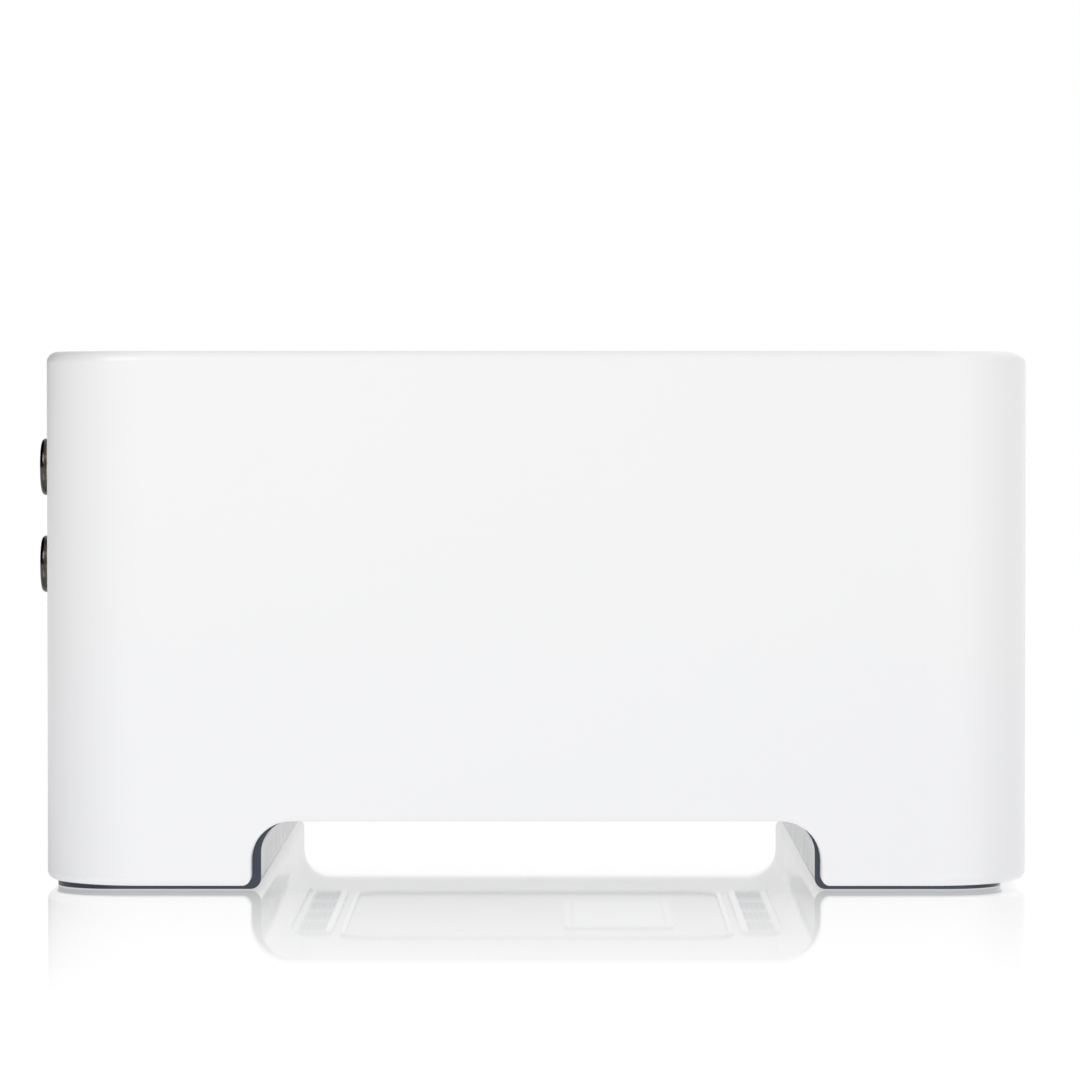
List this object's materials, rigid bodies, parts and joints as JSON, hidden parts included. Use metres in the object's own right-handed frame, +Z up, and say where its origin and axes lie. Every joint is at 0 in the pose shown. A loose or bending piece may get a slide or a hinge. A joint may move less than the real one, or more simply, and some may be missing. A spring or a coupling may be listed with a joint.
{
  "type": "wireless router",
  "caption": "Square white wireless router with an arched tunnel through its dark base, front push buttons and stacked phono jacks at the rear.",
  "frame": {"origin": "middle of the underside of the whole object's box, on the table", "axes": "+Z up, -Y towards the front with the buttons, +Y towards the rear with the connectors, X along the tunnel"},
  "size_m": [0.136, 0.14, 0.074],
  "materials": {
    "shell_white": "satin",
    "base_slate": "fine texture",
    "panel_slate": "fine texture",
    "pad_rubber": "matt",
    "label_silver": "satin",
    "key_white": "satin",
    "clear_plastic": "clear",
    "black_plastic": "satin",
    "white_insert": "gloss",
    "red_insert": "gloss",
    "orange_insert": "gloss",
    "jack_nickel": "polished",
    "contact_gold": "plated",
    "steel": "satin",
    "tinned_steel": "bright",
    "aluminium": "extruded",
    "board_green": "solder mask",
    "chip_black": "matt",
    "capacitor_sleeve": "gloss",
    "winding_tape": "gloss",
    "ferrite": "matt",
    "wire_jacket": "satin",
    "lead_grey": "satin",
    "ribbon_white": "satin",
    "sheet_clear": "satin",
    "lamp_green": "gloss",
    "lamp_amber": "gloss",
    "lamp_white": "gloss",
    "grille_grey": "satin",
    "gauze": "woven",
    "emitter_red": "gloss",
    "antenna_film": "satin"
  },
  "bodies": {
    "housing": {"top_shell": "shell_white", "base_tray": "base_slate", "rear_panel": "panel_slate", "foot_pads": "pad_rubber", "rating_label": "label_silver", "line_jack_housing": "black_plastic", "coax_jack_housing": "black_plastic", "line_jack_barrels": "jack_nickel", "coax_jack_barrel": "jack_nickel", "left_jack_inserts": "white_insert", "right_jack_inserts": "red_insert", "coax_jack_insert": "orange_insert", "jack_contacts": "contact_gold", "optical_socket": "black_plastic", "optical_emitter": "emitter_red", "network_socket": "tinned_steel", "network_contacts": "contact_gold", "green_link_lights": "lamp_green", "amber_link_lights": "lamp_amber", "power_inlet": "black_plastic", "inlet_pins": "tinned_steel", "button_switches": "black_plastic", "button_board": "board_green", "light_pipe": "clear_plastic", "status_light": "lamp_white", "main_board": "board_green", "processor": "chip_black", "heat_sink": "aluminium", "memory_chips": "chip_black", "converter_chip": "chip_black", "network_transformer": "chip_black", "board_capacitors": "capacitor_sleeve", "board_sockets": "black_plastic", "vent_grilles": "grille_grey", "vent_mesh": "gauze", "wireless_card": "board_green", "wireless_shield": "tinned_steel", "antennas": "antenna_film", "antenna_leads": "lead_grey", "power_board": "board_green", "insulating_sheet": "sheet_clear", "transformer": "winding_tape", "bulk_capacitor": "capacitor_sleeve", "mains_choke": "ferrite", "fuse_link": "white_insert", "power_capacitors": "capacitor_sleeve", "power_heat_sink": "aluminium", "harness_plugs": "white_insert", "power_wires": "wire_jacket", "ribbon_cable": "ribbon_white", "case_screws": "steel", "board_screws": "steel", "panel_screws": "steel"},
    "mute_key": {"mute_button": "key_white", "mute_plunger": "black_plastic"},
    "volume_up_key": {"volume_up_button": "key_white", "volume_up_plunger": "black_plastic"},
    "volume_down_key": {"volume_down_button": "key_white", "volume_down_plunger": "black_plastic"},
    "shutter": {"optical_shutter": "black_plastic"}
  },
  "joints": [
    {"name": "mute_press", "type": "slide", "parent": "housing", "child": "mute_key", "axis": [0, 1, 0], "range_m": [0, 0.0005], "stiffness_N_per_m": 2400},
    {"name": "volume_up_press", "type": "slide", "parent": "housing", "child": "volume_up_key", "axis": [0, 1, 0], "range_m": [0, 0.0005], "stiffness_N_per_m": 2400},
    {"name": "volume_down_press", "type": "slide", "parent": "housing", "child": "volume_down_key", "axis": [0, 1, 0], "range_m": [0, 0.0005], "stiffness_N_per_m": 2400},
    {"name": "shutter_swing", "type": "hinge", "parent": "housing", "child": "shutter", "pos_m": [0.021, 0.0599, 0.0454], "axis": [-1, 0, 0], "range_deg": [0, 85], "stiffness_Nm_per_rad": 0.0006}
  ]
}
